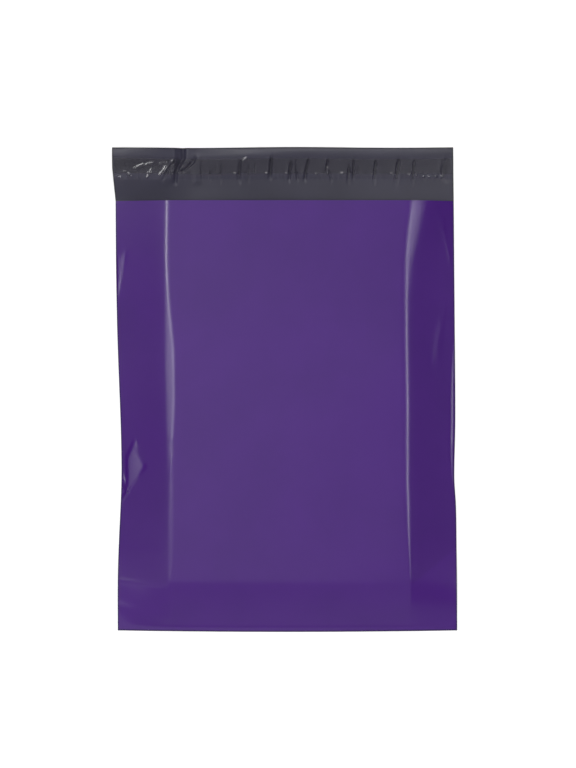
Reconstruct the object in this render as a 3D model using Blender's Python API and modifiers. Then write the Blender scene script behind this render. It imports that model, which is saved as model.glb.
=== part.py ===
"""Poly mailer bag lying on its back, mouth towards +Y.

One web of co-extruded film makes the back panel, the front panel and the flap. It is cut flat, folded
at the bottom and welded up both sides. Hot melt adhesive under a release liner crosses the flap.
"""
import math

import bmesh
import bpy
from mathutils import Vector

# The web of film, flat
BAG_WIDTH = 0.254
POCKET_DEPTH = 0.321
FLAP_DEPTH = 0.040
FILM = 0.000065

# The form a flat packed article leaves in the film
MARGIN = 0.037
RISE = 0.0115
MOUTH_RISE = 0.0085
MOUTH_REACH = 0.110
RIDGE_ROUND = 0.0045
SEAM_LIFT = 0.0026

# Side welds and bottom fold
WELD_REACH = 0.0006
WELD_STOP = 0.0010
FOLD_REACH = 0.0004
LAYER_GAP = 0.00005

# Outline of the bag as it lies
SKEW = 0.0030
BOTTOM_BOW = 0.0011
BOW_REACH = 0.060
LEFT_STEP = 0.0021
LIP_WAVE = 0.00026
LIP_PITCH = 0.152
LIP_CREST = 0.010
LIP_CURL = 0.0010

# Side pinches: side (-1 left, 1 right), height above the fold, reach up, reach down, depth
PINCHES = (
    (-1, 0.1228, 0.084, 0.055, 0.00345),
    (1, 0.1154, 0.030, 0.016, 0.00125),
)

# Buckles in the side margins: side, height above the fold, inset, half length, half width, rise
BUCKLES = (
    (-1, 0.1250, 0.0100, 0.018, 0.0060, 0.0011),
    (-1, 0.2690, 0.0045, 0.014, 0.0040, 0.0008),
    (1, 0.2170, 0.0125, 0.018, 0.0060, 0.0006),
    (1, 0.1550, 0.0050, 0.040, 0.0040, 0.0007),
)

# Adhesive and release liner on the inner face of the flap
ADHESIVE_WIDTH = 0.0125
ADHESIVE_FILM = 0.00010
LINER_WIDTH = 0.0165
LINER_FILM = 0.00004
STRIP_CENTRE = 0.0248
STRIP_END = 0.0015
LAYER_CLEARANCE = 0.0003

# Puckers across the strip: place from the centre line, lean per metre of height, rise
PUCKER_LENGTH = 0.0215
PUCKER_HALF = 0.0017
PUCKERS = (
    (-0.0475, 0.05, 0.0005),
    (-0.0333, 0.05, 0.0007),
    (-0.0095, 0.10, 0.0009),
    (0.0047, 0.22, 0.0008),
    (0.0099, 0.05, 0.0006),
    (0.0159, 0.08, 0.0009),
    (0.0315, 0.25, 0.0007),
    (0.0360, -0.20, 0.0007),
    (0.0480, 0.05, 0.0009),
    (0.0530, -0.10, 0.0006),
    (0.0688, 0.00, 0.0009),
    (0.0845, 0.08, 0.0009),
    (0.0964, 0.10, 0.0009),
)
DRAPE_FOLD = (-0.0765, 0.30, 0.0014)
DRAPE_HALF = 0.0034

SLOPE_COLUMNS = 5
FLAT_COLUMNS = 3
SHOULDER_STEPS = (-1.0, -0.45, 0.0, 0.45, 1.0)
POCKET_ROW = 0.028
CUT_TOLERANCE = 0.00001

LENGTH = POCKET_DEPTH + FLAP_DEPTH
FOLD_Y = -LENGTH / 2
HALF_WIDTH = BAG_WIDTH / 2

PURPLE = (0.085, 0.035, 0.200, 1.0)
GREY = (0.062, 0.058, 0.072, 1.0)
HOT_MELT = (0.110, 0.100, 0.110, 1.0)
LINER = (0.100, 0.098, 0.115, 1.0)


def clear_scene():
    for scene_object in list(bpy.data.objects):
        bpy.data.objects.remove(scene_object, do_unlink=True)


def clamp(value):
    return min(max(value, 0.0), 1.0)


def smooth(value):
    """Ease from 0 to 1."""
    share = clamp(value)
    return share * share * (3.0 - 2.0 * share)


def bump(value):
    """Bell of height 1 that is all but gone at 2."""
    return math.exp(-value * value)


def shouldered(distance, reach, rounding):
    """Slope from 0 at the edge up to 1, turning flat over a rounded shoulder at the reach."""
    slope = distance / reach
    turn = rounding / reach
    share = clamp(0.5 + 0.5 * (1.0 - slope) / turn)
    return 1.0 + (slope - 1.0) * share - turn * share * (1.0 - share)


def side_insets(across):
    """Distances along the web to the left and the right weld."""
    return HALF_WIDTH + across, HALF_WIDTH - across


def pinch(side, above_fold):
    """How far the side weld is drawn in, from the film being lifted between the welds."""
    drawn = 0.0
    for pinch_side, height, reach_up, reach_down, depth in PINCHES:
        reach = reach_up if above_fold > height else reach_down
        if pinch_side == side:
            drawn += depth * bump((above_fold - height) / reach)
    return drawn


def weld_lines(above_fold):
    """Places of the left and the right weld across the bag, at a height above the fold."""
    lean = SKEW * (0.5 - above_fold / LENGTH)
    left = -HALF_WIDTH + lean + pinch(-1, above_fold)
    right = HALF_WIDTH + lean - pinch(1, above_fold)
    below_strip = clamp((POCKET_DEPTH + STRIP_CENTRE - above_fold) / STRIP_CENTRE)
    up_pocket = clamp(above_fold / POCKET_DEPTH)
    left += LEFT_STEP * below_strip * (1.0 + up_pocket) / 2.0
    return left, right


def back_height(across, above_fold):
    """The back panel is flat where it rests, and its margins float up to the side welds."""
    nearest = min(side_insets(across))
    margin = smooth(1.0 - nearest / MARGIN)
    along = smooth(above_fold / MARGIN) * smooth((LENGTH - above_fold) / MARGIN)
    return SEAM_LIFT * margin * along


def buckle_height(across, above_fold):
    """Small buckles where the margin is loose."""
    rise = 0.0
    for side, height, inset, half_length, half_width, top in BUCKLES:
        place = side * (HALF_WIDTH - inset)
        along = bump((above_fold - height) / half_length)
        rise += top * along * bump((across - place) / half_width)
    return rise


def pocket_height(across, above_fold):
    """Clear height between the outer faces of the two panels."""
    left, right = side_insets(across)
    sides = shouldered(left, MARGIN, RIDGE_ROUND) * shouldered(right, MARGIN, RIDGE_ROUND)
    bottom = shouldered(above_fold, MARGIN, RIDGE_ROUND)
    slack = smooth((POCKET_DEPTH - above_fold) / MOUTH_REACH)
    top = MOUTH_RISE + (RISE - MOUTH_RISE) * slack
    near_weld = clamp(min(left, right) / MARGIN)
    loose = buckle_height(across, above_fold) * smooth(4.0 * near_weld)
    return max(top * sides * bottom + loose, 2.0 * FILM + LAYER_GAP)


def pleat(across, up_flap, place, lean, half_width):
    """Share of a pleat's rise: a straight ridge that leans as it crosses the flap."""
    line = place + lean * (up_flap - STRIP_CENTRE)
    return clamp(1.0 - abs(across - line) / half_width)


def flap_height(across, up_flap):
    """Puckers of the flap between the strip's edges, the draped fold, and the curled lip."""
    from_centre = abs(up_flap - STRIP_CENTRE) / (PUCKER_LENGTH / 2)
    on_strip = smooth(2.0 * (1.0 - from_centre))
    rise = 0.0
    for place, lean, top in PUCKERS:
        rise = max(rise, top * on_strip * pleat(across, up_flap, place, lean, PUCKER_HALF))
    place, lean, top = DRAPE_FOLD
    drape = smooth(up_flap / (STRIP_CENTRE / 2))
    rise = max(rise, top * drape * pleat(across, up_flap, place, lean, DRAPE_HALF))
    lip = smooth((up_flap - STRIP_CENTRE) / (FLAP_DEPTH - STRIP_CENTRE))
    return rise + LIP_CURL * lip


def folded(across, run):
    """Where a point of the flat web lies once the bag is made.

    The run is counted from the bottom fold, up the back panel and the flap when it is positive, and
    up the front panel when it is negative.
    """
    above_fold = abs(run)
    left, right = weld_lines(above_fold)
    share = (across + HALF_WIDTH) / BAG_WIDTH
    x = left + (right - left) * share
    corner = (across / HALF_WIDTH) ** 2
    y = FOLD_Y + above_fold + BOTTOM_BOW * corner * (1.0 - smooth(above_fold / BOW_REACH))
    z = back_height(across, above_fold)
    up_flap = run - POCKET_DEPTH
    if up_flap > 0.0:
        wave = LIP_WAVE * math.cos(2.0 * math.pi * (across - LIP_CREST) / LIP_PITCH)
        y += wave * smooth(up_flap / FLAP_DEPTH)
        z += flap_height(across, up_flap)
    on_weld = min(side_insets(across)) < WELD_REACH / 2
    welded = on_weld and above_fold < POCKET_DEPTH - WELD_STOP / 2
    if run < 0.0 and not welded:
        z += 2.0 * FILM + LAYER_GAP if on_weld else pocket_height(across, above_fold)
    elif run == 0.0 and not on_weld:
        z += (2.0 * FILM + LAYER_GAP) / 2.0
    return Vector((x, y, z))


def span(start, end, count):
    """Evenly spaced places between two ends, without the ends."""
    step = (end - start) / (count + 1)
    return [start + step * (index + 1) for index in range(count)]


def crease_columns():
    """Distances from the centre line at which the web is divided lengthwise, on one side."""
    shoulder = HALF_WIDTH - MARGIN
    columns = [shoulder + RIDGE_ROUND * step for step in SHOULDER_STEPS]
    columns += span(0.0, shoulder - RIDGE_ROUND, FLAT_COLUMNS)
    columns += span(shoulder + RIDGE_ROUND, HALF_WIDTH - WELD_REACH, SLOPE_COLUMNS)
    columns.append(HALF_WIDTH - WELD_REACH)
    return columns


def crease_rows():
    """Heights above the fold at which both panels are divided across."""
    rows = [FOLD_REACH, POCKET_DEPTH - WELD_STOP]
    rows += [MARGIN + RIDGE_ROUND * step for step in SHOULDER_STEPS]
    rows += span(FOLD_REACH, MARGIN - RIDGE_ROUND, 2)
    top = POCKET_DEPTH - WELD_STOP
    count = round((top - MARGIN) / POCKET_ROW)
    rows += span(MARGIN + RIDGE_ROUND, top, count)
    for _, height, _, half_length, _, _ in BUCKLES[:1]:
        rows += [height - half_length / 2, height + half_length / 2]
    return rows


def flap_rows():
    """Heights up the flap, from the mouth, at which it is divided across."""
    rows = span(0.0, STRIP_CENTRE - PUCKER_LENGTH / 2, 2)
    for width in (PUCKER_LENGTH, LINER_WIDTH, ADHESIVE_WIDTH):
        rows += [STRIP_CENTRE - width / 2, STRIP_CENTRE + width / 2]
    rows += span(STRIP_CENTRE - ADHESIVE_WIDTH / 2, STRIP_CENTRE + ADHESIVE_WIDTH / 2, 2)
    return rows


def divide(web, faces, place, normal):
    """Divide the flat faces along a line."""
    edges = {edge for face in faces for edge in face.edges}
    corners = {corner for face in faces for corner in face.verts}
    geometry = list(faces) + list(edges) + list(corners)
    point = Vector((place[0], place[1], 0.0))
    direction = Vector((normal[0], normal[1], 0.0)).normalized()
    bmesh.ops.bisect_plane(web, geom=geometry, dist=CUT_TOLERANCE, plane_co=point, plane_no=direction)


def faces_between(web, low, high):
    """Faces whose middle lies between two runs."""
    return [face for face in web.faces if low < face.calc_center_median().y < high]


def flat_web():
    """The web cut to length, still flat, with every crease and pucker line divided."""
    web = bmesh.new()
    bmesh.ops.create_grid(web, x_segments=2, y_segments=2, size=1.0)
    for corner in web.verts:
        corner.co.x *= HALF_WIDTH
        corner.co.y *= LENGTH if corner.co.y > 0.0 else POCKET_DEPTH
    for column in crease_columns():
        divide(web, web.faces[:], (column, 0.0), (1.0, 0.0))
        divide(web, web.faces[:], (-column, 0.0), (1.0, 0.0))
    for row in crease_rows():
        divide(web, web.faces[:], (0.0, row), (0.0, 1.0))
        divide(web, web.faces[:], (0.0, -row), (0.0, 1.0))
    divide(web, web.faces[:], (0.0, POCKET_DEPTH), (0.0, 1.0))
    for row in flap_rows():
        divide(web, web.faces[:], (0.0, POCKET_DEPTH + row), (0.0, 1.0))
    pucker_lines(web)
    bmesh.ops.reverse_faces(web, faces=web.faces[:])
    return web


def pucker_lines(web):
    """Divide the flap along the crest and both feet of each pucker and of the draped fold."""
    centre = POCKET_DEPTH + STRIP_CENTRE
    low = centre - PUCKER_LENGTH / 2
    high = centre + PUCKER_LENGTH / 2
    for place, lean, _ in PUCKERS:
        for foot in (-PUCKER_HALF, 0.0, PUCKER_HALF):
            divide(web, faces_between(web, low, high), (place + foot, centre), (1.0, -lean))
    place, lean, _ = DRAPE_FOLD
    for foot in (-DRAPE_HALF, 0.0, DRAPE_HALF):
        divide(web, faces_between(web, POCKET_DEPTH, LENGTH), (place + foot, centre), (1.0, -lean))


def fold_and_weld(web):
    """Fold the flat web over the bottom and weld front to back up both sides."""
    welds = []
    for corner in web.verts:
        across, run = corner.co.x, corner.co.y
        corner.co = folded(across, run)
        at_edge = min(side_insets(across)) < WELD_REACH / 2
        if at_edge and abs(run) < POCKET_DEPTH - WELD_STOP / 2:
            welds.append(corner)
    bmesh.ops.remove_doubles(web, verts=welds, dist=CUT_TOLERANCE)


def laid_strip(width):
    """The part of the flat web that a strip of this width covers, formed with the flap."""
    strip = flat_web()
    low = POCKET_DEPTH + STRIP_CENTRE - width / 2
    high = POCKET_DEPTH + STRIP_CENTRE + width / 2
    ends = HALF_WIDTH - STRIP_END
    for end in (-ends, ends):
        divide(strip, strip.faces[:], (end, 0.0), (1.0, 0.0))
    covered = [
        face for face in faces_between(strip, low, high)
        if abs(face.calc_center_median().x) < ends
    ]
    bare = list(set(strip.faces) - set(covered))
    bmesh.ops.delete(strip, geom=bare, context="FACES")
    for corner in strip.verts:
        corner.co = folded(corner.co.x, corner.co.y)
    bmesh.ops.reverse_faces(strip, faces=strip.faces[:])
    return strip


def film_material(name, colour, roughness):
    material = bpy.data.materials.new(name)
    material.use_nodes = True
    shader = material.node_tree.nodes["Principled BSDF"]
    shader.inputs["Base Color"].default_value = colour
    shader.inputs["Roughness"].default_value = roughness
    shader.inputs["Metallic"].default_value = 0.0
    return material


def sheet_object(name, surface, height, thickness, grows, materials, collection):
    """A sheet from its open surface: raised by the height and given its thickness."""
    bmesh.ops.triangulate(surface, faces=surface.faces[:], quad_method="SHORT_EDGE")
    bmesh.ops.translate(surface, verts=surface.verts[:], vec=(0.0, 0.0, height))
    mesh = bpy.data.meshes.new(name)
    surface.to_mesh(mesh)
    surface.free()
    mesh.shade_smooth()
    for material in materials:
        mesh.materials.append(material)
    sheet = bpy.data.objects.new(name, mesh)
    collection.objects.link(sheet)
    solidify = sheet.modifiers.new("film", "SOLIDIFY")
    solidify.thickness = thickness
    solidify.offset = grows
    solidify.material_offset = len(materials) - 1
    return sheet


def mailer_film(collection):
    """Front panel, back panel and flap in one web, purple outside and grey inside."""
    web = flat_web()
    fold_and_weld(web)
    materials = [
        film_material("film_outside", PURPLE, 0.32),
        film_material("film_inside", GREY, 0.42),
    ]
    sheet_object("mailer_film", web, 0.0, FILM, -1.0, materials, collection)


def adhesive_strip(collection):
    """Hot melt adhesive along the flap's inner face."""
    materials = [film_material("hot_melt", HOT_MELT, 0.25)]
    height = FILM + LAYER_CLEARANCE
    strip = laid_strip(ADHESIVE_WIDTH)
    sheet_object("adhesive_strip", strip, height, ADHESIVE_FILM, 1.0, materials, collection)


def release_liner(collection):
    """Thin clear liner that covers the adhesive until it is peeled off."""
    materials = [film_material("liner_film", LINER, 0.22)]
    height = FILM + LAYER_CLEARANCE + ADHESIVE_FILM + LAYER_CLEARANCE
    strip = laid_strip(LINER_WIDTH)
    sheet_object("release_liner", strip, height, LINER_FILM, 1.0, materials, collection)


def build():
    clear_scene()
    bag = bpy.data.collections.new("poly_mailer_bag")
    bpy.context.scene.collection.children.link(bag)
    mailer_film(bag)
    adhesive_strip(bag)
    release_liner(bag)


build()
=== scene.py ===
"""Poly mailer bag lying on its back on a pale table, seen from straight above."""
import math

import bpy
import numpy as np
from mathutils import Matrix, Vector


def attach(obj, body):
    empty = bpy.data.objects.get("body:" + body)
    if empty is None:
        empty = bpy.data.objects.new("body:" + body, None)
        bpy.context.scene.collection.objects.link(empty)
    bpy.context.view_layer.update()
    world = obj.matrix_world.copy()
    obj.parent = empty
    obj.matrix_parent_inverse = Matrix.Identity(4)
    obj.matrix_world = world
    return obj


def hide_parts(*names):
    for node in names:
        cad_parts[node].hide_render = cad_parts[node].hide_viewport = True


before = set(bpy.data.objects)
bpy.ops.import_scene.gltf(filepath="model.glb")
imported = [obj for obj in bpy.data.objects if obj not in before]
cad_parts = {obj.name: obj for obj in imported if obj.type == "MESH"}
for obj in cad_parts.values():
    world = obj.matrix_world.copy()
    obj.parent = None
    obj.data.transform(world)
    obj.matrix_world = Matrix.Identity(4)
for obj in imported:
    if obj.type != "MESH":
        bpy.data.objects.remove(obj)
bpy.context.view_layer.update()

# The bag lies flat and is looked at from straight above, from far enough that its edges stay square.
# The view is a little wider than the bag is long, as it is shown for sale on a plain white ground.
camera_lens = bpy.data.cameras.new("overhead_camera")
camera_lens.lens = 100.0
camera_lens.sensor_fit = "VERTICAL"
camera_lens.sensor_height = 24.0
camera = bpy.data.objects.new("overhead_camera", camera_lens)
camera.location = (0.0024, 0.0042, 2.3845)
bpy.context.scene.collection.objects.link(camera)
bpy.context.scene.camera = camera
bpy.context.scene.view_settings.view_transform = "Standard"


# The bag is one web of co-extruded polyethylene, purple outside and dark grey inside. It is cut flat,
# folded at the bottom and welded up both sides with a hot knife, which leaves a fine darker bead. The
# dark line drawn at the welds also runs along the fold and the flap's free edge; it is the bead with
# painted edge shade.
# The film keeps the form that a flat packed article gave it: a level front with a ridge down each side.
WEB_WIDTH = 0.254
POCKET_DEPTH = 0.321
FLAP_DEPTH = 0.040
FILM = 0.000065
LENGTH = POCKET_DEPTH + FLAP_DEPTH
HALF_WIDTH = WEB_WIDTH / 2
FOLD_Y = -LENGTH / 2

RISE = 0.0115
MOUTH_RISE = 0.0106
MOUTH_REACH = 0.110
MOUTH_LIFT = 0.0005
MARGIN = 0.037
SEAM_LIFT = 0.0007
CORNER_LIFT = 0.0012
CORNER_REACH = 0.036
CORNER_FADE = 0.034
LAYER_GAP = 0.00005
WELD_REACH = 0.0006
WELD_STOP = 0.0010

# Places up the bag at which the ridges are given, counted from the bottom fold
RIDGE_PLACES = (0.0, 0.037, 0.053, 0.083, 0.124, 0.146, 0.172, 0.210, 0.247, 0.277, 0.299, 0.321)
LEFT_RIDGE = (.0386, .0386, .0388, .0380, .0373, .0376, .0387, .0395, .0386, .0380, .0384, .0390)
LEFT_FACET = (.0004, .0004, .0010, .0008, .0024, .0043, .0060, .0064, .0022, .0005, .0005, .0005)
LEFT_ROUND = (.0030, .0030, .0070, .0080, .0060, .0040, .0040, .0040, .0044, .0066, .0060, .0066)
RIGHT_RIDGE = (.0350, .0350, .0356, .0364, .0358, .0364, .0363, .0365, .0363, .0344, .0303, .0260)
RIGHT_FACET = (.0003, .0003, .0003, .0008, .0008, .0008, .0008, .0008, .0010, .0050, .0090, .0110)
RIGHT_ROUND = (.0008, .0008, .0009, .0066, .0070, .0070, .0070, .0070, .0080, .0055, .0060, .0070)
LEFT_SLOPE = 0.182
LEFT_CURL = 0.12
RIGHT_SLOPE = 0.166
RIGHT_CURL = 0.32
FOOT_SLOPE = 0.33
CREST_SLOPE = 0.36
BREAK_SHIFT = 0.15
TOE_END = 0.0035
TOE_TURN = 0.003
TOE_SLOPE = 0.03
BOTTOM_BREAK = 0.0362
BOTTOM_TURN = 0.013


def clamp(value):
    return np.clip(value, 0.0, 1.0)


def ease(value):
    """Ease from 0 to 1."""
    share = clamp(value)
    return share * share * (3.0 - 2.0 * share)


def bell(value):
    return np.exp(-value * value)


def softened(values, count):
    """A row of values, each the weighted mean of its neighbours."""
    weights = np.hanning(count)
    padded = np.pad(values, count // 2, mode="edge")
    return np.convolve(padded, weights / weights.sum(), mode="valid")


def along_bag(above_fold, values):
    """A size that changes softly up the bag, from its values at the ridge places."""
    fine = np.linspace(0.0, POCKET_DEPTH, 600)
    return np.interp(above_fold, fine, softened(np.interp(fine, RIDGE_PLACES, values), 31))


# The welds lean across the bag and are drawn in at a pinch on each side, which reaches further above
# its place than below it. From the strip downwards the left one also stands further in.
WELD_LEAN = 0.0030
LEFT_PINCH = 0.1228
LEFT_PINCH_DEPTH = 0.00345
LEFT_PINCH_REACHES = (0.084, 0.055)
RIGHT_PINCH = 0.1154
RIGHT_PINCH_DEPTH = 0.00125
RIGHT_PINCH_REACHES = (0.030, 0.016)
LEFT_STEP = 0.0021
STEP_END = 0.0248


def weld_lines(above_fold):
    """Places of the left and the right weld across the bag, drawn in where the film is lifted."""
    lean = WELD_LEAN * (0.5 - above_fold / LENGTH)
    left_reach = np.where(above_fold > LEFT_PINCH, *LEFT_PINCH_REACHES)
    right_reach = np.where(above_fold > RIGHT_PINCH, *RIGHT_PINCH_REACHES)
    left = -HALF_WIDTH + lean + LEFT_PINCH_DEPTH * bell((above_fold - LEFT_PINCH) / left_reach)
    right = HALF_WIDTH + lean - RIGHT_PINCH_DEPTH * bell((above_fold - RIGHT_PINCH) / right_reach)
    below_strip = clamp((POCKET_DEPTH + STEP_END - above_fold) / STEP_END)
    left = left + LEFT_STEP * below_strip * (1.0 + clamp(above_fold / POCKET_DEPTH)) / 2.0
    return left, right


def seam_height(above_fold):
    """Height at which the side welds float over the table."""
    ends = ease(above_fold / MARGIN) * ease((LENGTH - above_fold) / MARGIN)
    corner = ease(above_fold / CORNER_REACH) * (1.0 - ease((above_fold - CORNER_REACH) / CORNER_FADE))
    return SEAM_LIFT * ends + CORNER_LIFT * corner


def side_share(inset, above_fold, ridge, facet, rounding, slope, curl):
    """Share of the front's rise reached at each inset from a weld, row by row.

    The film climbs from the weld, steeper towards the ridge, breaks over a narrow facet and lies level.
    """
    fine = np.linspace(0.0, 0.070, 351)
    step = fine[1] - fine[0]
    middle = along_bag(above_fold, ridge)[:, None]
    width = along_bag(above_fold, facet)[:, None]
    turn = along_bag(above_fold, rounding)[:, None]
    top = (front_top(above_fold) - seam_height(above_fold))[:, None]
    climb = FOOT_SLOPE + (CREST_SLOPE - FOOT_SLOPE) * ease(fine[None, :] / (0.75 * middle))
    outside = ease((middle - width / 2 - fine[None, :]) / turn + 0.5 - BREAK_SHIFT)
    inside = ease((middle + width / 2 - fine[None, :]) / turn + 0.5 + BREAK_SHIFT)
    outward = clamp((middle + width / 2 - fine[None, :]) / width)
    breaking = slope * (1.0 + curl * outward) * (inside - outside)
    climbing = climb * outside
    broken = np.cumsum(breaking, axis=1) * step
    climbed = np.cumsum(climbing, axis=1) * step
    scale = (top - broken[:, -1:]) / climbed[:, -1:]
    share = (broken + climbed * scale) / top
    share -= share[:, :1]
    share /= share[:, -1:]
    return np.array([np.interp(inset, fine, row) for row in share])


def bottom_share(above_fold):
    """Share of the front's rise reached above the fold: a flat toe, a slope and a soft break."""
    fine = np.linspace(0.0, 0.060, 601)
    slope = ease((fine - TOE_END) / TOE_TURN + 0.5) * ease((BOTTOM_BREAK - fine) / BOTTOM_TURN + 0.5)
    height = np.cumsum(slope + TOE_SLOPE)
    height = (height - height[0]) / (height[-1] - height[0])
    return np.interp(above_fold, fine, height)


def front_top(above_fold):
    slack_and_painted_shade = ease((POCKET_DEPTH - above_fold) / MOUTH_REACH)
    return MOUTH_RISE + (RISE - MOUTH_RISE) * slack_and_painted_shade


# Broad swells of the level front: place across, place up, reach across, reach up, rise
SWELLS = (
    (0.030, 0.213, 0.055, 0.022, -0.00030),
    (-0.045, 0.110, 0.060, 0.050, 0.00025),
    (0.050, 0.080, 0.045, 0.035, -0.00020),
    (-0.020, 0.270, 0.050, 0.030, 0.00020),
    (0.000, 0.160, 0.070, 0.016, 0.00012),
)

# Facets knocked into the margins: side, corners as inset and height above the fold, slope, share
FACETS = (
    (-1, ((.0100, .1420), (.0188, .1239), (.0046, .1045), (.0038, .1300)), 0.165, 1.0),
    (-1, ((.0081, .2828), (.0062, .2709), (.0004, .2510), (.0003, .2790)), 0.193, 1.0),
    (1, ((.0004, .2097), (.0036, .1799), (.0041, .1426), (.0006, .1127)), 0.158, 1.0),
    (1, ((.0081, .2358), (.0195, .2097), (.0181, .2008), (.0129, .1985)), 0.200, 0.6),
)
FACET_EDGE = 0.0024
FACET_HOLLOW = -5.0

# Creases pressed up in the front: side, start and end as inset and height above the fold, rise, reach
CREASES = (
    (-1, (.0010, .0620), (.0330, .0590), .00015, .0036),
    (-1, (.0010, .0381), (.0330, .0329), .00028, .0042),
    (-1, (.0010, .0187), (.0370, .0098), .00034, .0048),
    (-1, (.0049, .1045), (.0008, .1157), .00050, .0017),
    (-1, (.0049, .1045), (.0004, .1072), .00050, .0015),
    (-1, (.0049, .1045), (.0003, .0978), .00050, .0015),
    (-1, (.0188, .1239), (.0100, .1420), .00012, .0014),
    (-1, (.0188, .1239), (.0100, .1130), .00012, .0014),
    (-1, (.0398, .1440), (.0353, .1452), .00012, .0013),
    (-1, (.0386, .1290), (.0380, .1120), .00006, .0016),
    (1, (.0141, .3179), (.0072, .2960), .00014, .0022),
    (1, (.0085, .3050), (.0030, .2768), .00014, .0020),
)


def polygon_mask(inset, above_fold, corners):
    """1 inside a convex facet, easing to 0 over its edges."""
    middle = np.mean(corners, axis=0)
    nearest = np.full(np.broadcast(inset, above_fold).shape, 1.0)
    for start, end in zip(corners, corners[1:] + corners[:1]):
        along = np.subtract(end, start)
        across = np.array((-along[1], along[0])) / np.hypot(*along)
        if np.dot(np.subtract(middle, start), across) < 0.0:
            across = -across
        distance = (inset - start[0]) * across[0] + (above_fold - start[1]) * across[1]
        nearest = np.minimum(nearest, distance)
    return ease(nearest / FACET_EDGE + 0.5)


def off_line(first, second, start, end):
    """Distance of each place from a line between two places, and how far along the line it lies."""
    run = np.subtract(end, start)
    share = clamp(((first - start[0]) * run[0] + (second - start[1]) * run[1]) / np.dot(run, run))
    return np.hypot(first - start[0] - share * run[0], second - start[1] - share * run[1]), share


def smooth_front(across, above_fold):
    """Height of the front panel before its facets; across is a row and above_fold a column."""
    left = side_share(
        HALF_WIDTH + across, above_fold, LEFT_RIDGE, LEFT_FACET, LEFT_ROUND, LEFT_SLOPE, LEFT_CURL,
    )
    right = side_share(
        HALF_WIDTH - across, above_fold, RIGHT_RIDGE, RIGHT_FACET, RIGHT_ROUND, RIGHT_SLOPE, RIGHT_CURL,
    )
    seam = seam_height(above_fold)[:, None]
    rise = front_top(above_fold)[:, None] - seam
    level = ease((HALF_WIDTH - np.abs(across)[None, :]) / MARGIN - 0.9)
    level = level * ease((above_fold[:, None] - MARGIN) / 0.03)
    swell = np.zeros_like(left)
    for place, up, reach, reach_up, height in SWELLS:
        spread = bell((across[None, :] - place) / reach)
        swell += height * spread * bell((above_fold[:, None] - up) / reach_up)
    return seam + rise * left * right * bottom_share(above_fold)[:, None] + swell * level


def front_height(across, above_fold):
    """Height of the front panel over the table."""
    height = smooth_front(across, above_fold)
    for side, corners, slope, share in FACETS:
        place = 0.65 * np.mean(corners, axis=0) + 0.35 * np.max(corners, axis=0)
        level = smooth_front(np.array([side * (HALF_WIDTH - place[0])]), np.mean(corners, axis=0)[1:])
        inset = (HALF_WIDTH - side * across)[None, :]
        mask = share * polygon_mask(inset, above_fold[:, None], corners)
        plane = level + slope * (inset - place[0]) + FACET_HOLLOW * (inset - place[0]) ** 2 / 2
        height += (plane - height) * mask
    for side, start, end, rise, reach in CREASES:
        off, share = off_line((HALF_WIDTH - side * across)[None, :], above_fold[:, None], start, end)
        height += rise * ease(1.0 - off / reach) * (1.0 - 0.3 * share)
    return height


# Painted shade on the margins starts above the fold, with a soft edge, and the right one higher towards its
# weld
PAINTED_SHADE_START = 0.036
PAINTED_SHADE_EDGE = 0.004
RIGHT_TURN_UP = 0.027
RIGHT_TURN_WIDTH = 0.034
MOUTH_SHADE_SHARE = 0.45
LOWER_LEFT_LOSS = 0.45
PAINTED_SHADE_FADE = 0.050


def painted_shade_share(across, above_fold):
    """1 on the margins and part of it by the mouth: painted shade that darkens the purple film there."""
    left_inset = (HALF_WIDTH + across)[None, :]
    right_inset = (HALF_WIDTH - across)[None, :]
    left = ease((along_bag(above_fold, LEFT_RIDGE)[:, None] - left_inset) / PAINTED_SHADE_EDGE + 0.5)
    right = ease((along_bag(above_fold, RIGHT_RIDGE)[:, None] - right_inset) / PAINTED_SHADE_EDGE + 0.5)
    near_mouth = MOUTH_SHADE_SHARE * ease((above_fold[:, None] - 0.205) / PAINTED_SHADE_FADE)
    right_corner = RIGHT_TURN_UP * clamp(1.0 - right_inset / RIGHT_TURN_WIDTH)
    lower_left = 1.0 - LOWER_LEFT_LOSS * ease((0.100 - above_fold[:, None]) / PAINTED_SHADE_FADE)
    left = left * lower_left * ease((above_fold[:, None] - PAINTED_SHADE_START) / PAINTED_SHADE_EDGE + 0.5)
    right = right * ease((above_fold[:, None] - PAINTED_SHADE_START - right_corner) / PAINTED_SHADE_EDGE + 0.5)
    return np.maximum(np.maximum(left, right), near_mouth)


def back_height(across, above_fold):
    """The back panel is flat where it rests, and floats up to the side welds and to the flap."""
    inset = HALF_WIDTH - np.abs(across)
    margins = seam_height(above_fold)[:, None] * ease(1.0 - inset / MARGIN)[None, :] ** 1.5
    mouth = ease(1.0 - (POCKET_DEPTH - above_fold) / 0.020)[:, None]
    return margins + MOUTH_LIFT * mouth * ease(inset / 0.012)[None, :]


# How high the flap stands, at places up it and at stations across it: its left end has sprung up in
# two steps, its middle leans up to a crest near the free edge, and its right end lies nearly flat
FLAP_PLACES = (0.0, .0040, .0100, .0160, .0200, .0265, .0300, .0340, .0360, .0384, FLAP_DEPTH)
FLAP_STATIONS = (-0.1200, -0.0900, -0.0660, -0.0300, 0.0060, 0.0600, 0.1200)
FLAP_LEVELS = (
    (0, .00070, .0023, .0037, .0039, .0048, .0054, .0059, .0059, .0056, .0052),
    (0, .00050, .0017, .0034, .0037, .0039, .0047, .0056, .0059, .0063, .0065),
    (0, .00010, .0002, .0005, .0009, .0016, .0021, .0024, .0024, .0025, .0026),
    (0, .00035, .0008, .0013, .0019, .0030, .0037, .0043, .0041, .0036, .0031),
    (0, .00015, .0003, .0005, .0008, .0016, .0023, .0031, .0033, .0031, .0026),
    (0, 0, -.0001, -.0001, -.0001, .0001, .0005, .0009, .0009, .0007, .0003),
    (0, -.0001, -.0003, -.0004, -.0004, -.0002, .0001, .0004, .0004, .0001, -.0002),
)

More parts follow.
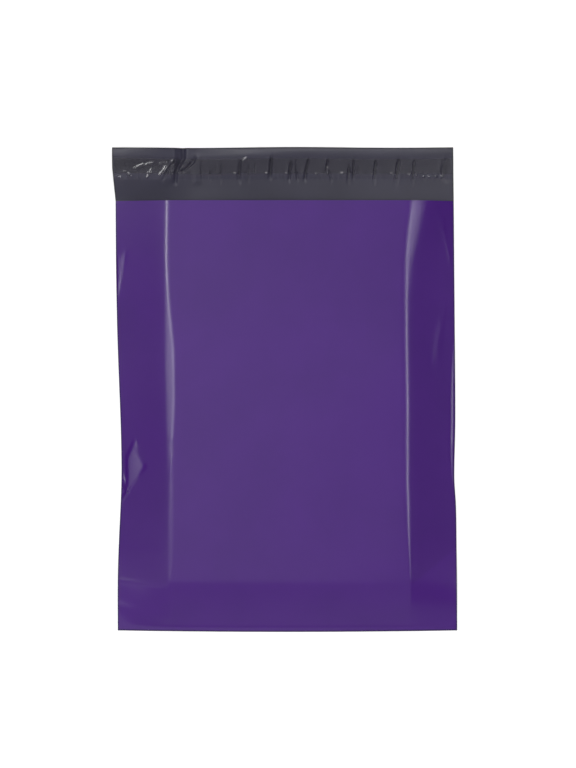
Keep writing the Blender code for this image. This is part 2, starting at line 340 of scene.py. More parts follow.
# Grooves where the adhesive has drawn the film together: end by the mouth and end by the free edge, as
# place across and place up the flap, then depth as a share of the deepest, and reach to each side
GROOVES = (
    ((-.0612, .0167), (-.0605, .0279), .35, .0018),
    ((-.0549, .0167), (-.0542, .0234), .35, .0016),
    ((-.0512, .0219), (-.0497, .0279), .30, .0016),
    ((-.0474, .0152), (-.0459, .0264), .50, .0020),
    ((-.0333, .0152), (-.0321, .0279), .80, .0024),
    ((-.0266, .0160), (-.0254, .0264), .45, .0020),
    ((-.0213, .0219), (-.0206, .0279), .30, .0016),
    ((-.0098, .0182), (-.0083, .0324), 1.00, .0024),
    ((.0040, .0160), (.0063, .0286), .90, .0022),
    ((.0104, .0160), (.0096, .0301), .55, .0018),
    ((.0160, .0167), (.0190, .0301), .90, .0024),
    ((.0313, .0219), (.0339, .0301), .75, .0020),
    ((.0357, .0160), (.0339, .0242), .55, .0018),
    ((.0484, .0152), (.0492, .0249), .85, .0022),
    ((.0522, .0175), (.0529, .0301), .70, .0020),
    ((.0577, .0197), (.0563, .0279), .25, .0018),
    ((.0678, .0152), (.0693, .0294), .85, .0022),
    ((.0842, .0152), (.0865, .0301), 1.00, .0026),
    ((.0965, .0152), (.0980, .0294), .85, .0022),
    ((.1062, .0175), (.1070, .0264), .25, .0020),
    ((.1189, .0182), (.1226, .0301), .60, .0050),
    ((-.0900, .0160), (-.0810, .0301), .60, .0022),
)
GROOVE_DEPTH = 0.0009
GROOVE_ENDS = 0.006

# A groove's floor and the low shoulders beside it, as shares of its depth and of its reach
FLOOR_DEPTH = 1.35
FLOOR_REACH = 0.9
SHOULDER_RISE = 0.35
SHOULDER_REACH = 2.4

# Folds from lying rolled: line of places, rise (or depth if below zero), reach to the left and the right
DRAPE_FOLDS = (
    (((-.0809, .0138), (-.0796, .0215), (-.0779, .0252), (-.0763, .0290), (-.0741, .0319), (-.0740, .0410)),
     -.0014, .0026, .0022),
    (((-.0775, .0270), (-.0760, .0330), (-.0752, .0420)), -.0018, .0060, .0055),
    (((-.0750, .0225), (-.0711, .0252), (-.0674, .0290), (-.0651, .0327)), -.0010, .0028, .0026),
    (((-.0652, .0140), (-.0647, .0215), (-.0637, .0282), (-.0650, .0340)), .0005, .0040, .0060),
    (((.1218, .0150), (.1224, .0340)), -.0003, .0035, .0035),
    (((-.0850, .0160), (-.0830, .0250), (-.0800, .0330)), .0003, .0040, .0030),
)


def crease(across, up_flap, line, left_reach, right_reach, ends):
    """1 along a line of places given from the mouth upwards, easing to 0 on both sides of it."""
    places = np.array(line)
    middle = np.interp(up_flap, places[:, 1], places[:, 0])
    off = across - middle
    shape = np.where(off < 0.0, ease(1.0 + off / left_reach), ease(1.0 - off / right_reach))
    low = ease((up_flap - places[0, 1]) / ends + 0.7)
    high = ease((places[-1, 1] - up_flap) / ends + 0.7)
    return shape * low * high


def fine_wrinkles(across, up_flap):
    """Small upright wrinkles that fill the space between the grooves."""
    waves = np.sin(2 * math.pi * across / 0.0031 + 3.0 * np.sin(across / 0.011))
    waves = waves + 0.8 * np.sin(2 * math.pi * across / 0.0047 + 1.3 + 40.0 * up_flap)
    patches = 0.5 + 0.5 * np.sin(across / 0.0085 + 0.7) * np.sin(across / 0.0212 + 2.0)
    return waves * patches


def flap_form(across, up_flap):
    """Height of the flap before its folds and puckers; across is a row and up_flap a column."""
    fine_up = np.linspace(0.0, FLAP_DEPTH, 201)
    fine_across = np.linspace(-HALF_WIDTH, HALF_WIDTH, 255)
    stations = [softened(np.interp(fine_up, FLAP_PLACES, levels), 13) for levels in FLAP_LEVELS]
    at_up = np.array([np.interp(up_flap.ravel(), fine_up, station) for station in stations])
    rows_across = [softened(np.interp(fine_across, FLAP_STATIONS, levels), 15) for levels in at_up.T]
    return np.array([np.interp(across.ravel(), fine_across, levels) for levels in rows_across])


# The band of the flap that the wrinkles fill, their height and that of the broad swells
BAND_START = 0.0140
BAND_END = 0.0335
BAND_EDGE = 0.003
WRINKLE_HEIGHT = 0.00008
SWELL_HEIGHT = 0.00010

# The free edge curls down, more so at the left, over the last half millimetre
EDGE_CURL = 0.00035
CURL_TILT = 0.0015
CURL_REACH = 0.0005


def flap_height(across, up_flap):
    """Height of the flap's film over the back panel's level."""
    height = flap_form(across, up_flap)
    on_strip = ease((up_flap - BAND_START) / BAND_EDGE) * ease((BAND_END - up_flap) / BAND_EDGE)
    height = height + WRINKLE_HEIGHT * fine_wrinkles(across, up_flap) * on_strip
    swell = np.sin(across / 0.019 + 1.0) * np.sin(up_flap / 0.011 + 0.4)
    height = height + SWELL_HEIGHT * swell * ease(up_flap / 0.006)
    for line, rise, left_reach, right_reach in DRAPE_FOLDS:
        height = height + rise * crease(across, up_flap, line, left_reach, right_reach, 0.004)
    for start, end, share, reach in GROOVES:
        depth = GROOVE_DEPTH * share
        line = (start, end)
        wide = SHOULDER_REACH * reach
        narrow = FLOOR_REACH * reach
        height = height + SHOULDER_RISE * depth * crease(across, up_flap, line, wide, wide, GROOVE_ENDS)
        height = height - FLOOR_DEPTH * depth * crease(across, up_flap, line, narrow, narrow, GROOVE_ENDS)
    at_edge = clamp((up_flap - FLAP_DEPTH) / CURL_REACH + 1.0)
    height = height - (EDGE_CURL - CURL_TILT * across) * at_edge
    return height


def flap_level(across, up_flap):
    """Height of a row of places across the flap and a column of places up it, never below the table."""
    height = back_height(across, POCKET_DEPTH + up_flap)
    return np.maximum(height + flap_height(across[None, :], up_flap[:, None]), 0.00002)


# The fold's ends are drawn up a little towards the flap, and the flap's free edge waves along its length
FOLD_BOW = 0.0011
BOW_REACH = 0.060
EDGE_WAVE = 0.00026
EDGE_WAVE_LENGTH = 0.152
EDGE_WAVE_CREST = 0.010
EDGE_DROP = 0.00024
EDGE_TILT = 0.0024


def web_places(across, above_fold, heights, flap=False):
    """Corners of a stretch of the web, given as a row of places across and a column of places up."""
    left, right = weld_lines(above_fold)
    share = (across + HALF_WIDTH) / WEB_WIDTH
    x = left[:, None] + (right - left)[:, None] * share[None, :]
    bow = FOLD_BOW * (across / HALF_WIDTH)[None, :] ** 2
    y = FOLD_Y + above_fold[:, None] + bow * (1.0 - ease(above_fold / BOW_REACH))[:, None]
    if flap:
        turn = 2.0 * math.pi * (across - EDGE_WAVE_CREST) / EDGE_WAVE_LENGTH
        wave = EDGE_WAVE * np.cos(turn) - EDGE_DROP + EDGE_TILT * across
        y = y + wave[None, :] * ease((above_fold - POCKET_DEPTH) / FLAP_DEPTH)[:, None]
    return np.stack((x, y, np.broadcast_to(heights, x.shape)), axis=-1)


def spaced(*stretches):
    """Places in stretches of (start, end, spacing), sorted, without repeats."""
    places = []
    for start, end, spacing in stretches:
        count = max(1, round((end - start) / spacing))
        places.extend(np.linspace(start, end, count + 1)[:-1])
    places.append(stretches[-1][1])
    return np.array(places)


def quads(index, upward):
    """Faces of a grid of corner numbers, facing up or down."""
    a, b, c, d = index[:-1, :-1], index[:-1, 1:], index[1:, 1:], index[1:, :-1]
    order = (a, b, c, d) if upward else (a, d, c, b)
    return np.stack(order, axis=-1).reshape(-1, 4).tolist()


def applied(name, mesh, materials, thickness, offset, sharp_angle):
    """A piece of film from its open surface, with its thickness applied."""
    for material in materials:
        mesh.materials.append(material)
    surface = bpy.data.objects.new(name + "_surface", mesh)
    bpy.context.scene.collection.objects.link(surface)
    solidify = surface.modifiers.new("film", "SOLIDIFY")
    solidify.thickness = thickness
    solidify.offset = offset
    solidify.material_offset = len(materials) - 1
    graph = bpy.context.evaluated_depsgraph_get()
    solid = bpy.data.meshes.new_from_object(surface.evaluated_get(graph))
    bpy.data.objects.remove(surface, do_unlink=True)
    solid.name = name
    solid.shade_smooth()
    solid.set_sharp_from_angle(angle=math.radians(sharp_angle))
    piece = bpy.data.objects.new(name, solid)
    bpy.context.scene.collection.objects.link(piece)
    return piece


columns = spaced(
    (-HALF_WIDTH, -HALF_WIDTH + WELD_REACH, WELD_REACH), (-0.1264, -0.1180, 0.0007),
    (-0.1180, -0.1080, 0.0013), (-0.1080, -0.0980, 0.0020), (-0.0980, -0.0810, 0.0008),
    (-0.0810, 0.0820, 0.0102), (0.0820, 0.1010, 0.0008), (0.1010, 0.1190, 0.0020),
    (0.1190, 0.1264, 0.0007), (0.1264, HALF_WIDTH, WELD_REACH),
)
rows = spaced(
    (0.0, 0.0004, 0.0004), (0.0004, 0.0080, 0.0012), (0.0080, 0.0290, 0.0021), (0.0290, 0.0440, 0.0011),
    (0.0440, 0.0650, 0.0021), (0.0650, 0.0970, 0.0045), (0.0970, 0.1090, 0.0009),
    (0.1090, 0.1480, 0.0019), (0.1480, 0.2480, 0.0050), (0.2480, 0.2860, 0.0025),
    (0.2860, POCKET_DEPTH - WELD_STOP, 0.0040),
    (POCKET_DEPTH - WELD_STOP, POCKET_DEPTH, WELD_STOP),
)
flap_columns = spaced(*[
    (start, end, 0.00072) for start, end in zip(columns[:-1], columns[1:])
])
flap_rows = spaced(
    (0.0012, 0.0132, 0.0015), (0.0132, 0.0340, 0.00055),
    (0.0340, 0.0390, 0.0010), (0.0390, FLAP_DEPTH, 0.0005),
)

back = web_places(columns, rows, back_height(columns, rows))
back[0, 1:-1, 2] += FILM + LAYER_GAP / 2
heights = np.maximum(
    front_height(columns, rows), back_height(columns, rows) + 2.0 * FILM + LAYER_GAP,
)
heights[:-1, 0] = back[:-1, 0, 2]
heights[:-1, -1] = back[:-1, -1, 2]
front = web_places(columns, rows, heights)
flap = web_places(
    flap_columns, POCKET_DEPTH + flap_rows, flap_level(flap_columns, flap_rows), flap=True,
)

row_count, column_count = len(rows), len(columns)
back_index = np.arange(row_count * column_count).reshape(row_count, column_count)
front_index = back_index + row_count * column_count
front_index[0] = back_index[0]
front_index[:-1, 0] = back_index[:-1, 0]
front_index[:-1, -1] = back_index[:-1, -1]
flap_index = np.arange(flap.shape[0] * flap.shape[1]).reshape(flap.shape[:2])
flap_index = flap_index + 2 * row_count * column_count

# At the ends of the fold the panels share three corners of a cell, so both are cut to the fourth
faces = quads(flap_index, upward=False)
for panel in (quads(front_index, upward=True), quads(back_index, upward=False)):
    a, b, c, d = panel[0]
    e, f, g, h = panel[column_count - 2]
    faces += [[a, b, c], [a, c, d]] + panel[1:column_count - 2] + [[e, f, h], [f, g, h]]
    faces += panel[column_count - 1:]

# The flap's columns are finer than the panels', so they fan out from the row at the mouth
joins = np.searchsorted(flap_columns, columns - 1e-7)
for column in range(column_count - 1):
    left_place, right_place = back_index[-1, column:column + 2]
    middle = (joins[column] + joins[column + 1]) // 2
    for finer in range(joins[column], joins[column + 1]):
        mouth_place = left_place if finer < middle else right_place
        faces.append([mouth_place, flap_index[0, finer], flap_index[0, finer + 1]])
    faces.append([left_place, flap_index[0, middle], right_place])

corners = np.concatenate([part.reshape(-1, 3) for part in (back, front, flap)])
across_web = np.concatenate([
    np.tile(columns, row_count), np.tile(columns, row_count), np.tile(flap_columns, len(flap_rows)),
])
used = np.unique(np.concatenate([np.array(face) for face in faces]))
renumber = np.zeros(len(corners), dtype=int)
renumber[used] = np.arange(len(used))
web = bpy.data.meshes.new("mailer_web")
web.from_pydata(corners[used].tolist(), [], [[int(renumber[c]) for c in face] for face in faces])
# A darker line along the welds, the bottom fold and the flap's free edge: the weld bead, with painted edge
# shade
bead_and_shade_line = web.attributes.new("bead_and_edge_shade", "FLOAT", "POINT")
from_edge = HALF_WIDTH - np.abs(across_web)
from_edge[flap_index.ravel()] = np.minimum(
    from_edge[flap_index.ravel()], np.repeat(FLAP_DEPTH - flap_rows, len(flap_columns)),
)
from_edge[front_index.ravel()] = np.minimum(
    from_edge[front_index.ravel()], np.repeat(rows, column_count),
)
bead_and_shade_line.data.foreach_set("value", bell(from_edge[used] / 0.0008))
# Painted shade: the share by which the front's purple colour is darkened on its margins and by the mouth
painted_shade_web = np.zeros(len(corners))
painted_shade_web[front_index.ravel()] = painted_shade_share(columns, rows).ravel()
slack_and_painted_shade = web.attributes.new("painted_margin_shade", "FLOAT", "POINT")
slack_and_painted_shade.data.foreach_set("value", painted_shade_web[used])


def new_group(name, inputs, outputs):
    """A shader node group with named number inputs and outputs."""
    group = bpy.data.node_groups.new(name, "ShaderNodeTree")
    for label, kind, default in inputs:
        socket = group.interface.new_socket(label, in_out="INPUT", socket_type=kind)
        if default is not None:
            socket.default_value = default
    for label, kind in outputs:
        group.interface.new_socket(label, in_out="OUTPUT", socket_type=kind)
    return group


def add_node(tree, kind, settings=(), values=()):
    """A node with its settings and unlinked input values."""
    node = tree.nodes.new(kind)
    for name, setting in settings:
        setattr(node, name, setting)
    for name, value in values:
        node.inputs[name].default_value = value
    return node


def film_gauge_group():
    """Uneven gauge of blown film: cloudy tone, fine lines along the machine direction, and grain."""
    group = new_group(
        "film_gauge",
        (("Cloud Size", "NodeSocketFloat", 0.05), ("Line Size", "NodeSocketFloat", 0.002)),
        (("Cloud", "NodeSocketFloat"), ("Lines", "NodeSocketFloat"), ("Grain", "NodeSocketFloat")),
    )
    entry = add_node(group, "NodeGroupInput")
    leave = add_node(group, "NodeGroupOutput")
    place = add_node(group, "ShaderNodeTexCoord")
    cloud_scale = add_node(group, "ShaderNodeMath", [("operation", "DIVIDE")], [(0, 1.0)])
    group.links.new(entry.outputs["Cloud Size"], cloud_scale.inputs[1])
    cloud = add_node(group, "ShaderNodeTexNoise", (), [("Detail", 3.0), ("Roughness", 0.55)])
    group.links.new(place.outputs["Object"], cloud.inputs["Vector"])
    group.links.new(cloud_scale.outputs[0], cloud.inputs["Scale"])
    line_scale = add_node(group, "ShaderNodeMath", [("operation", "DIVIDE")], [(0, 1.0)])
    group.links.new(entry.outputs["Line Size"], line_scale.inputs[1])
    drawn = add_node(group, "ShaderNodeMapping", (), [("Scale", (1.0, 0.02, 1.0))])
    group.links.new(place.outputs["Object"], drawn.inputs["Vector"])
    lines = add_node(group, "ShaderNodeTexNoise", (), [("Detail", 4.0), ("Roughness", 0.6)])
    group.links.new(drawn.outputs["Vector"], lines.inputs["Vector"])
    group.links.new(line_scale.outputs[0], lines.inputs["Scale"])
    grain = add_node(group, "ShaderNodeTexNoise", (), [("Scale", 900.0), ("Detail", 2.0)])
    group.links.new(place.outputs["Object"], grain.inputs["Vector"])
    group.links.new(cloud.outputs["Fac"], leave.inputs["Cloud"])
    group.links.new(lines.outputs["Fac"], leave.inputs["Lines"])
    group.links.new(grain.outputs["Fac"], leave.inputs["Grain"])
    return group


film_gauge = film_gauge_group()


def film_material(name, deep, pale, bead_and_edge_shade_colour, painted_shade_tone, roughness, gloss, specular, bumps):
    """Film with a cloudy tone between two colours, painted shade on its margins, a darker weld bead with
    painted edge shade, and fine relief.
    """
    material = bpy.data.materials.new(name)
    material.use_nodes = True
    tree = material.node_tree
    shader = tree.nodes["Principled BSDF"]
    shader.inputs["Coat Weight"].default_value = gloss[0]
    shader.inputs["Coat Roughness"].default_value = gloss[1]
    shader.inputs["Specular IOR Level"].default_value = specular
    gauge = add_node(tree, "ShaderNodeGroup", [("node_tree", film_gauge)])
    tone = add_node(tree, "ShaderNodeMapRange", (), [("From Min", 0.35), ("From Max", 0.65)])
    tree.links.new(gauge.outputs["Cloud"], tone.inputs["Value"])
    body = add_node(tree, "ShaderNodeMix", [("data_type", "RGBA")])
    body.inputs["A"].default_value = deep
    body.inputs["B"].default_value = pale
    tree.links.new(tone.outputs["Result"], body.inputs["Factor"])
    # Painted shade: the margins and the mouth are darkened by this colour multiply
    slack_and_painted_shade = add_node(tree, "ShaderNodeAttribute", [("attribute_name", "painted_margin_shade")])
    deeper = add_node(tree, "ShaderNodeMix", [("data_type", "RGBA"), ("blend_type", "MULTIPLY")])
    deeper.inputs["B"].default_value = painted_shade_tone
    tree.links.new(body.outputs["Result"], deeper.inputs["A"])
    tree.links.new(slack_and_painted_shade.outputs["Fac"], deeper.inputs["Factor"])
    # Darker along the welds, the fold and the free edge: the weld bead, with painted edge shade
    edge = add_node(tree, "ShaderNodeAttribute", [("attribute_name", "bead_and_edge_shade")])
    dark = add_node(tree, "ShaderNodeMix", [("data_type", "RGBA")])
    dark.inputs["B"].default_value = bead_and_edge_shade_colour
    tree.links.new(deeper.outputs["Result"], dark.inputs["A"])
    tree.links.new(edge.outputs["Fac"], dark.inputs["Factor"])
    tree.links.new(dark.outputs["Result"], shader.inputs["Base Color"])
    haze = add_node(
        tree, "ShaderNodeMapRange", (),
        [("From Min", 0.3), ("From Max", 0.7), ("To Min", roughness - 0.05), ("To Max", roughness + 0.05)],
    )
    tree.links.new(gauge.outputs["Lines"], haze.inputs["Value"])
    tree.links.new(haze.outputs["Result"], shader.inputs["Roughness"])
    relief = add_node(tree, "ShaderNodeMath", [("operation", "MULTIPLY_ADD")], [(1, bumps[1])])
    tree.links.new(gauge.outputs["Grain"], relief.inputs[0])
    drawn = add_node(tree, "ShaderNodeMath", [("operation", "MULTIPLY")], [(1, bumps[0])])
    tree.links.new(gauge.outputs["Lines"], drawn.inputs[0])
    tree.links.new(drawn.outputs[0], relief.inputs[2])
    bump = add_node(tree, "ShaderNodeBump", (), [("Strength", 1.0), ("Distance", 0.001)])
    tree.links.new(relief.outputs[0], bump.inputs["Height"])
    tree.links.new(bump.outputs["Normal"], shader.inputs["Normal"])
    return material


# The 0.895 tone darkens the margins as painted shade; the third colour darkens the weld bead and paints
# shade along the edges
outside = film_material(
    "purple_film", (0.0540, 0.0101, 0.166, 1.0), (0.0595, 0.0113, 0.179, 1.0), (0.020, 0.006, 0.060, 1.0),
    (0.895, 0.895, 0.895, 1.0), 0.45, (0.85, 0.20), 0.05, (0.010, 0.0015),
)
inside = film_material(
    "grey_inner_film", (0.028, 0.0265, 0.044, 1.0), (0.034, 0.0322, 0.053, 1.0), (0.008, 0.008, 0.010, 1.0),
    (1.0, 1.0, 1.0, 1.0), 0.42, (0.03, 0.30), 0.27, (0.010, 0.0040),
)
mailer = applied("mailer_film_piece", web, (outside, inside), FILM, -1.0, 38.0)
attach(mailer, "root")
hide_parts("mailer_film")


# A band of hot melt adhesive is laid across the flap's inner face while the web is flat. It shrinks as
# it cools, which puckers the film under it, and it stands in lumps at the left end where it ran thick.
ADHESIVE_WIDTH = 0.0125
STRIP_CENTRE = 0.0248
STRIP_END = 0.0015
ADHESIVE_FILM = 0.00009

# Beads of adhesive: places (across, up the flap), half width, rise
BEADS = (
    (((-.1100, .0246), (-.1040, .0273)), .0017, .00062),
    (((-.1020, .0269), (-.0976, .0284)), .0016, .00056),
    (((-.0913, .0278), (-.0868, .0290), (-.0868, .0265), (-.0888, .0230), (-.0917, .0200)), .0016, .00036),
    (((-.0822, .0297), (-.0810, .0303)), .0017, .00064),
    (((-.0981, .0237), (-.0991, .0207), (-.1016, .0178)), .0013, .00026),
    (((-.1157, .0193), (-.1150, .0205)), .0013, .00030),
    (((-.0298, .0302), (-.0276, .0314)), .0020, .00080),
)


def bead_height(across, up_flap):
    """Height of the beads: distance to each line of places, under a rounded section."""
    height = np.zeros(np.broadcast(across, up_flap).shape)
    for places, half_width, rise in BEADS:
        for start, end in zip(places[:-1], places[1:]):
            off = off_line(across, up_flap, start, end)[0]
            height = np.maximum(height, rise * clamp(1.0 - off / half_width))
    return height


LUMP_HEIGHT = 0.000018
LUMP_LEVEL = 1.7


def lumps(across, up_flap):
    """Uneven thickness where the adhesive ran thick at the left end of the flap."""
    patch = bell((across + 0.100) / 0.020) * bell((up_flap - 0.0235) / 0.0080)
    waves = np.sin(across / 0.0016 + 90.0 * up_flap) * np.sin(up_flap / 0.0014 + across / 0.0040)
    waves += 0.7 * np.sin(across / 0.0027 - 300.0 * up_flap + 1.0)
    return LUMP_HEIGHT * patch * (LUMP_LEVEL + waves)


# Where the adhesive is thick enough to darken what covers it: off the band's centre, half width, edge
THICK_OFFSET = 0.0012
THICK_HALF_WIDTH = 0.0054
THICK_EDGE = 0.0022
LEFT_END_SHARE = 0.50


def adhesive_and_groove_shade(across, up_flap):
    """0 beyond the thick of the adhesive, 1 over it, up to 1.5 at its left end, and 2 in the grooves as
    painted shade.
    """
    beyond = np.abs(up_flap - STRIP_CENTRE - THICK_OFFSET) - THICK_HALF_WIDTH
    groove_shade_and_thick_end = LEFT_END_SHARE * bell((across + 0.118) / 0.024) * ease((up_flap - 0.020) / 0.006)
    # The grooves are darkened as painted shade
    for start, end, share, reach in GROOVES:
        line = crease(across, up_flap, (start, end), 0.5 * reach, 0.5 * reach, GROOVE_ENDS)
        groove_shade_and_thick_end = np.maximum(groove_shade_and_thick_end, share * line)
    return ease(0.7 - beyond / THICK_EDGE) + groove_shade_and_thick_end


FULL_LUMP = 0.00015


def laid_strip(name, width, raise_by, spacing, extra):
    """A strip laid on the flap, following its puckers."""
    across = spaced((-HALF_WIDTH + STRIP_END, HALF_WIDTH - STRIP_END, spacing))
    up = spaced((STRIP_CENTRE - width / 2, STRIP_CENTRE + width / 2, spacing))
    height = flap_level(across, up) + FILM + raise_by + extra(across[None, :], up[:, None])
    places = web_places(across, POCKET_DEPTH + up, height, flap=True)
    index = np.arange(places.shape[0] * places.shape[1]).reshape(places.shape[:2])
    mesh = bpy.data.meshes.new(name)
    mesh.from_pydata(places.reshape(-1, 3).tolist(), [], quads(index, upward=True))
    lump = mesh.attributes.new("lump", "FLOAT", "POINT")
    lump.data.foreach_set("value", clamp(extra(across[None, :], up[:, None]) / FULL_LUMP).ravel())
    under = mesh.attributes.new("adhesive_and_groove_shade", "FLOAT", "POINT")
    under.data.foreach_set("value", adhesive_and_groove_shade(across[None, :], up[:, None]).ravel())
    return mesh


def strip_material(name, bare, deep, pale, roughness, gloss, gloss_roughness, alpha, relief_height):
    """Cloudy tone between two colours over the adhesive, darker at its left end, painted shade in the
    grooves, wet on its lumps.
    """
    material = bpy.data.materials.new(name)
    material.use_nodes = True
    tree = material.node_tree
    shader = tree.nodes["Principled BSDF"]
    shader.inputs["Specular IOR Level"].default_value = 0.25
    shader.inputs["Coat Roughness"].default_value = gloss_roughness
    shader.inputs["Alpha"].default_value = alpha
    lump = add_node(tree, "ShaderNodeAttribute", [("attribute_name", "lump")])
    wet = add_node(tree, "ShaderNodeMapRange", (), [("From Min", 0.4), ("To Min", 0.03), ("To Max", gloss)])
    tree.links.new(lump.outputs["Fac"], wet.inputs["Value"])
    tree.links.new(wet.outputs["Result"], shader.inputs["Coat Weight"])
    gauge = add_node(
        tree, "ShaderNodeGroup", [("node_tree", film_gauge)], [("Cloud Size", 0.012)],
    )
    body = add_node(tree, "ShaderNodeMix", [("data_type", "RGBA")])
    body.inputs["A"].default_value = deep
    body.inputs["B"].default_value = pale
    tree.links.new(gauge.outputs["Cloud"], body.inputs["Factor"])
    under = add_node(tree, "ShaderNodeAttribute", [("attribute_name", "adhesive_and_groove_shade")])
    backed = add_node(tree, "ShaderNodeMix", [("data_type", "RGBA")])
    backed.inputs["A"].default_value = bare
    tree.links.new(body.outputs["Result"], backed.inputs["B"])
    tree.links.new(under.outputs["Fac"], backed.inputs["Factor"])
    # Values over 1 darken the colour: painted shade in the grooves, and the darker left end
    groove_and_end_darkening = add_node(tree, "ShaderNodeMapRange", (), [("From Min", 1.0), ("From Max", 2.0)])
    tree.links.new(under.outputs["Fac"], groove_and_end_darkening.inputs["Value"])
    groove_shade_and_thick_end = add_node(tree, "ShaderNodeMix", [("data_type", "RGBA")])
    groove_shade_and_thick_end.inputs["B"].default_value = (0.018, 0.0172, 0.025, 1.0)
    tree.links.new(backed.outputs["Result"], groove_shade_and_thick_end.inputs["A"])
    tree.links.new(groove_and_end_darkening.outputs["Result"], groove_shade_and_thick_end.inputs["Factor"])
    tree.links.new(groove_shade_and_thick_end.outputs["Result"], shader.inputs["Base Color"])
    haze = add_node(
        tree, "ShaderNodeMapRange", (), [("To Min", roughness - 0.06), ("To Max", roughness + 0.06)],
    )
    tree.links.new(gauge.outputs["Cloud"], haze.inputs["Value"])
    tree.links.new(haze.outputs["Result"], shader.inputs["Roughness"])
    bump = add_node(tree, "ShaderNodeBump", (), [("Strength", 1.0), ("Distance", relief_height)])
    tree.links.new(gauge.outputs["Grain"], bump.inputs["Height"])
    tree.links.new(bump.outputs["Normal"], shader.inputs["Normal"])
    return material


hot_melt = strip_material(
    "hot_melt_adhesive", (0.032, 0.0303, 0.050, 1.0), (0.025, 0.0236, 0.036, 1.0),
    (0.031, 0.0292, 0.044, 1.0), 0.42, 0.8, 0.15, 1.0, 5e-6,
)
adhesive = applied(
    "adhesive_strip_piece",
    laid_strip(
        "adhesive_band", ADHESIVE_WIDTH, 0.00002, 0.0008,
        lambda across, up_flap: bead_height(across, up_flap) + lumps(across, up_flap),
    ),
    (hot_melt,), ADHESIVE_FILM, 1.0, 40.0,
)
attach(adhesive, "root")
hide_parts("adhesive_strip")


# A thin clear release liner covers the adhesive until the bag is sealed. It is wider than the adhesive
# on both sides, and small blisters are trapped under it, mostly by its lower edge, which catch the light.
LINER_WIDTH = 0.0165
LINER_FILM = 0.00003
BLISTERS = (
    (-.0363, .0207, .0010), (-.0124, .0207, .0009), (.0025, .0207, .0008), (.0138, .0215, .0007),
    (.0333, .0245, .0009), (.0328, .0204, .0010), (.0249, .0204, .0009), (.0436, .0207, .0011),
    (.0533, .0207, .0007), (.0667, .0200, .0008), (.0809, .0207, .0008), (.0936, .0200, .0007),
    (.0989, .0193, .0008), (.1048, .0185, .0009), (.1086, .0185, .0008), (.1138, .0185, .0012),
    (.1183, .0185, .0013), (-.1152, .0190, .0015), (-.0998, .0211, .0011), (-.1184, .0219, .0010),
    (-.1230, .0178, .0016),
)


BLISTER_RISE = 0.46
BLISTER_FOOT = 1.5
BLISTER_SQUASH = 1.3
LINER_SAG = 0.7


def blister_height(across, up_flap):
    """The liner rides over the beads and the blisters, and sags to the film beyond the adhesive."""
    beyond = np.abs(up_flap - STRIP_CENTRE) - ADHESIVE_WIDTH / 2
    height = bead_height(across, up_flap) + lumps(across, up_flap)
    height = height - LINER_SAG * ADHESIVE_FILM * ease(beyond / 0.0020)
    for place, up, reach in BLISTERS:
        off = np.hypot(across - place, (up_flap - up) * BLISTER_SQUASH)
        height = height + BLISTER_RISE * reach * clamp(1.0 - off / (BLISTER_FOOT * reach))
    return height


liner_film = strip_material(
    "clear_liner_film", (0.040, 0.0380, 0.062, 1.0), (0.0310, 0.0293, 0.0430, 1.0),
    (0.0385, 0.0364, 0.0525, 1.0), 0.42, 0.9, 0.14, 0.85, 3e-6,
)
liner = applied(
    "release_liner_piece",
    laid_strip("liner_band", LINER_WIDTH, ADHESIVE_FILM + 0.00005, 0.00042, blister_height),
    (liner_film,), LINER_FILM, 1.0, 40.0,
)
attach(liner, "root")
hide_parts("release_liner")


# The bag lies on a plain pale table that runs out of view on all sides.
# To the camera it is white, and it still takes the bag's soft shadow.
table_mesh = bpy.data.meshes.new("table_top")
table_mesh.from_pydata(
    [(-3.0, -3.0, -0.0003), (3.0, -3.0, -0.0003), (3.0, 3.0, -0.0003), (-3.0, 3.0, -0.0003)],
    [], [(0, 1, 2, 3)],
)
table = bpy.data.objects.new("table_top", table_mesh)
bpy.context.scene.collection.objects.link(table)
table_paint = bpy.data.materials.new("pale_table")
table_paint.use_nodes = True
tree = table_paint.node_tree
tree.nodes.clear()
path = add_node(tree, "ShaderNodeLightPath")
seen = add_node(tree, "ShaderNodeMath", [("operation", "MAXIMUM")])
tree.links.new(path.outputs["Is Camera Ray"], seen.inputs[0])
tree.links.new(path.outputs["Is Glossy Ray"], seen.inputs[1])
also = add_node(tree, "ShaderNodeMath", [("operation", "MAXIMUM")])
tree.links.new(seen.outputs[0], also.inputs[0])
tree.links.new(path.outputs["Is Transmission Ray"], also.inputs[1])
matt = add_node(tree, "ShaderNodeBsdfDiffuse", (), [("Color", (0.6, 0.6, 0.6, 1.0))])
shadowed = add_node(tree, "ShaderNodeBsdfDiffuse", (), [("Color", (0.45, 0.45, 0.45, 1.0))])
lifted_white = add_node(tree, "ShaderNodeEmission", (), [("Strength", 0.62)])
bright = add_node(tree, "ShaderNodeAddShader")
tree.links.new(shadowed.outputs[0], bright.inputs[0])
tree.links.new(lifted_white.outputs[0], bright.inputs[1])
choice = add_node(tree, "ShaderNodeMixShader")
tree.links.new(also.outputs[0], choice.inputs["Fac"])
tree.links.new(matt.outputs[0], choice.inputs[1])
tree.links.new(bright.outputs[0], choice.inputs[2])
surface = add_node(tree, "ShaderNodeOutputMaterial")
tree.links.new(choice.outputs[0], surface.inputs["Surface"])
table_mesh.materials.append(table_paint)


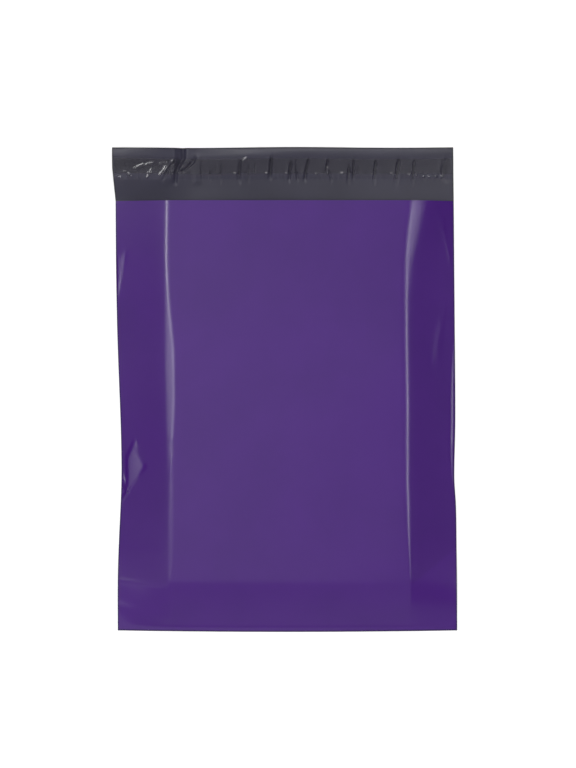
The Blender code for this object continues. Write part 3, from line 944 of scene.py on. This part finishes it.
# The studio: a narrow soft box each side of the camera, with a wide faint glow round it, draws the light
# down the ridges. Broad faint panels hang overhead, in front and at the sides, and two lamps fill the
# bag evenly from the foot and the head of the table.
def soft_box(name, place, aim, size, radiance):
    """A lamp that faces a point of the table, its level side named first, with an even radiance."""
    lamp = bpy.data.lights.new(name, "AREA")
    lamp.shape = "RECTANGLE"
    lamp.size = size[0]
    lamp.size_y = size[1]
    lamp.energy = radiance * math.pi * size[0] * size[1]
    holder = bpy.data.objects.new(name, lamp)
    holder.location = place
    holder.rotation_euler = (Vector(place) - Vector(aim)).to_track_quat("Z", "Y").to_euler()
    holder.visible_camera = False
    bpy.context.scene.collection.objects.link(holder)


soft_box("left_strip_light", (-0.530, 0.445, 1.200), (0.0, 0.445, 0.0), (0.67, 0.13), 14.0)
soft_box("left_strip_tail", (-0.530, 0.025, 1.200), (0.0, 0.025, 0.0), (0.17, 0.13), 8.5)
soft_box("left_strip_halo", (-0.530, 0.15, 1.200), (0.0, 0.15, 0.0), (1.00, 0.46), 0.74)
soft_box("right_strip_light", (0.530, 0.010, 1.200), (0.0, 0.010, 0.0), (0.36, 0.13), 9.8)
soft_box("right_strip_halo", (0.530, 0.04, 1.200), (0.0, 0.04, 0.0), (0.70, 0.48), 0.80)
soft_box("overhead_panel", (-0.37, -0.15, 2.500), (-0.37, -0.15, 0.0), (1.1, 1.2), 0.78)
soft_box("front_panel", (-0.25, -0.90, 1.200), (-0.25, -0.30, 0.0), (1.7, 1.0), 0.38)
soft_box("left_side_panel", (-1.06, -0.53, 1.200), (-0.10, -0.15, 0.0), (0.75, 0.5), 0.62)
soft_box("right_side_panel", (1.06, -0.45, 1.200), (0.10, -0.10, 0.0), (1.3, 0.4), 0.13)
soft_box("foot_fill_light", (0.0, -1.85, 0.75), (0.0, 0.0, 0.0), (1.2, 0.6), 5.4)
soft_box("head_fill_light", (0.0, 1.45, 2.55), (0.0, 0.0, 0.0), (2.0, 1.0), 7.1)

world = bpy.data.worlds.new("studio")
world.use_nodes = True
bpy.context.scene.world = world
tree = world.node_tree
tree.nodes.clear()
path = add_node(tree, "ShaderNodeLightPath")
dim = add_node(tree, "ShaderNodeBackground", (), [("Strength", 0.06)])
white = add_node(tree, "ShaderNodeBackground", (), [("Strength", 1.0)])
choice = add_node(tree, "ShaderNodeMixShader")
tree.links.new(path.outputs["Is Camera Ray"], choice.inputs["Fac"])
tree.links.new(dim.outputs[0], choice.inputs[1])
tree.links.new(white.outputs[0], choice.inputs[2])
surface = add_node(tree, "ShaderNodeOutputWorld")
tree.links.new(choice.outputs[0], surface.inputs["Surface"])
